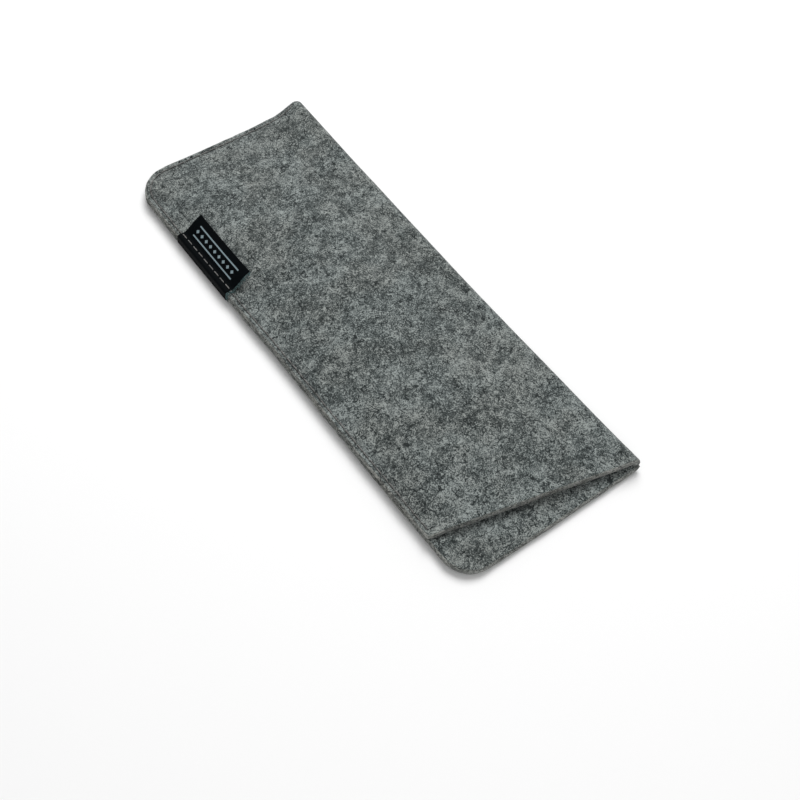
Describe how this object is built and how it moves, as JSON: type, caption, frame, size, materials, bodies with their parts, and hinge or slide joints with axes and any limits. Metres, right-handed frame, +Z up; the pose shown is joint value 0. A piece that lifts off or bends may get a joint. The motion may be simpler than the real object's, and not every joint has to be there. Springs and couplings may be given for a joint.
{
  "type": "felt eyeglasses case",
  "caption": "Soft slip-in eyeglasses pouch of folded felt, sewn along one side and one end, with a slanted mouth and a bare woven side label.",
  "frame": {"origin": "centre of the underside of the whole case, label included", "axes": "+X from the closed end to the open mouth, +Y from the sewn side to the fold, +Z up from the back panel to the front panel"},
  "size_m": [0.17, 0.0654, 0.0103],
  "materials": {
    "grey_felt": "matte heather wool felt",
    "seam_thread": "matte spun thread",
    "label_ribbon": "satin woven ribbon"
  },
  "bodies": {
    "case": {"felt_body": "grey_felt", "needle_thread": "seam_thread", "bobbin_thread": "seam_thread", "label_wrap": "label_ribbon"},
    "label_flap": {"label_flap": "label_ribbon"}
  },
  "joints": [
    {"name": "label_flap_swing", "type": "hinge", "parent": "case", "child": "label_flap", "pos_m": [-0.0439, -0.0297, 0.0044], "axis": [1, 0, 0], "range_deg": [-10, 85], "stiffness_Nm_per_rad": 0.00006}
  ]
}
